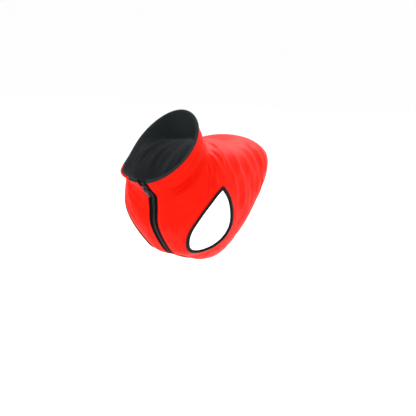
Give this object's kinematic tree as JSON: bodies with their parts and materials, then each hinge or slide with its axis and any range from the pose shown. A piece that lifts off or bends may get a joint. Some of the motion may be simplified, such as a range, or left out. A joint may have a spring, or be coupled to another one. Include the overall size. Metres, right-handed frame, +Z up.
{
  "type": "dog winter coat",
  "caption": "Padded sleeveless dog vest in worn shape with a stand collar, two bound armholes and a full-length chest zip.",
  "frame": {"origin": "on the inner face of the back over the withers, where the coat rests on the wearer", "axes": "+Z up, -Y towards the chest and the zip, +Y along the back to the hem, +X to the wearer's left"},
  "size_m": [0.1674, 0.3287, 0.2393],
  "materials": {
    "shell_red": "smooth satin polyester over thin padding",
    "lining_grey": "dark plain-weave lining",
    "trim_black": "ribbed black binding and zip tape",
    "zip_coil_black": "black nylon coil",
    "slider_grey": "dark grey painted die-cast metal"
  },
  "bodies": {
    "coat": {"back_panel": "shell_red", "chest_panel_left": "shell_red", "chest_panel_right": "shell_red", "collar": "shell_red", "collar_lining": "lining_grey", "armhole_binding_left": "trim_black", "armhole_binding_right": "trim_black", "zip_tape_left": "trim_black", "zip_tape_right": "trim_black", "zip_coil": "zip_coil_black", "zip_slider": "slider_grey"},
    "pull": {"zip_pull": "slider_grey"}
  },
  "joints": [
    {"name": "zip_pull_swing", "type": "hinge", "parent": "coat", "child": "pull", "pos_m": [0, -0.14869, -0.05233], "axis": [-1, 0, 0], "range_deg": [0, 176]}
  ]
}
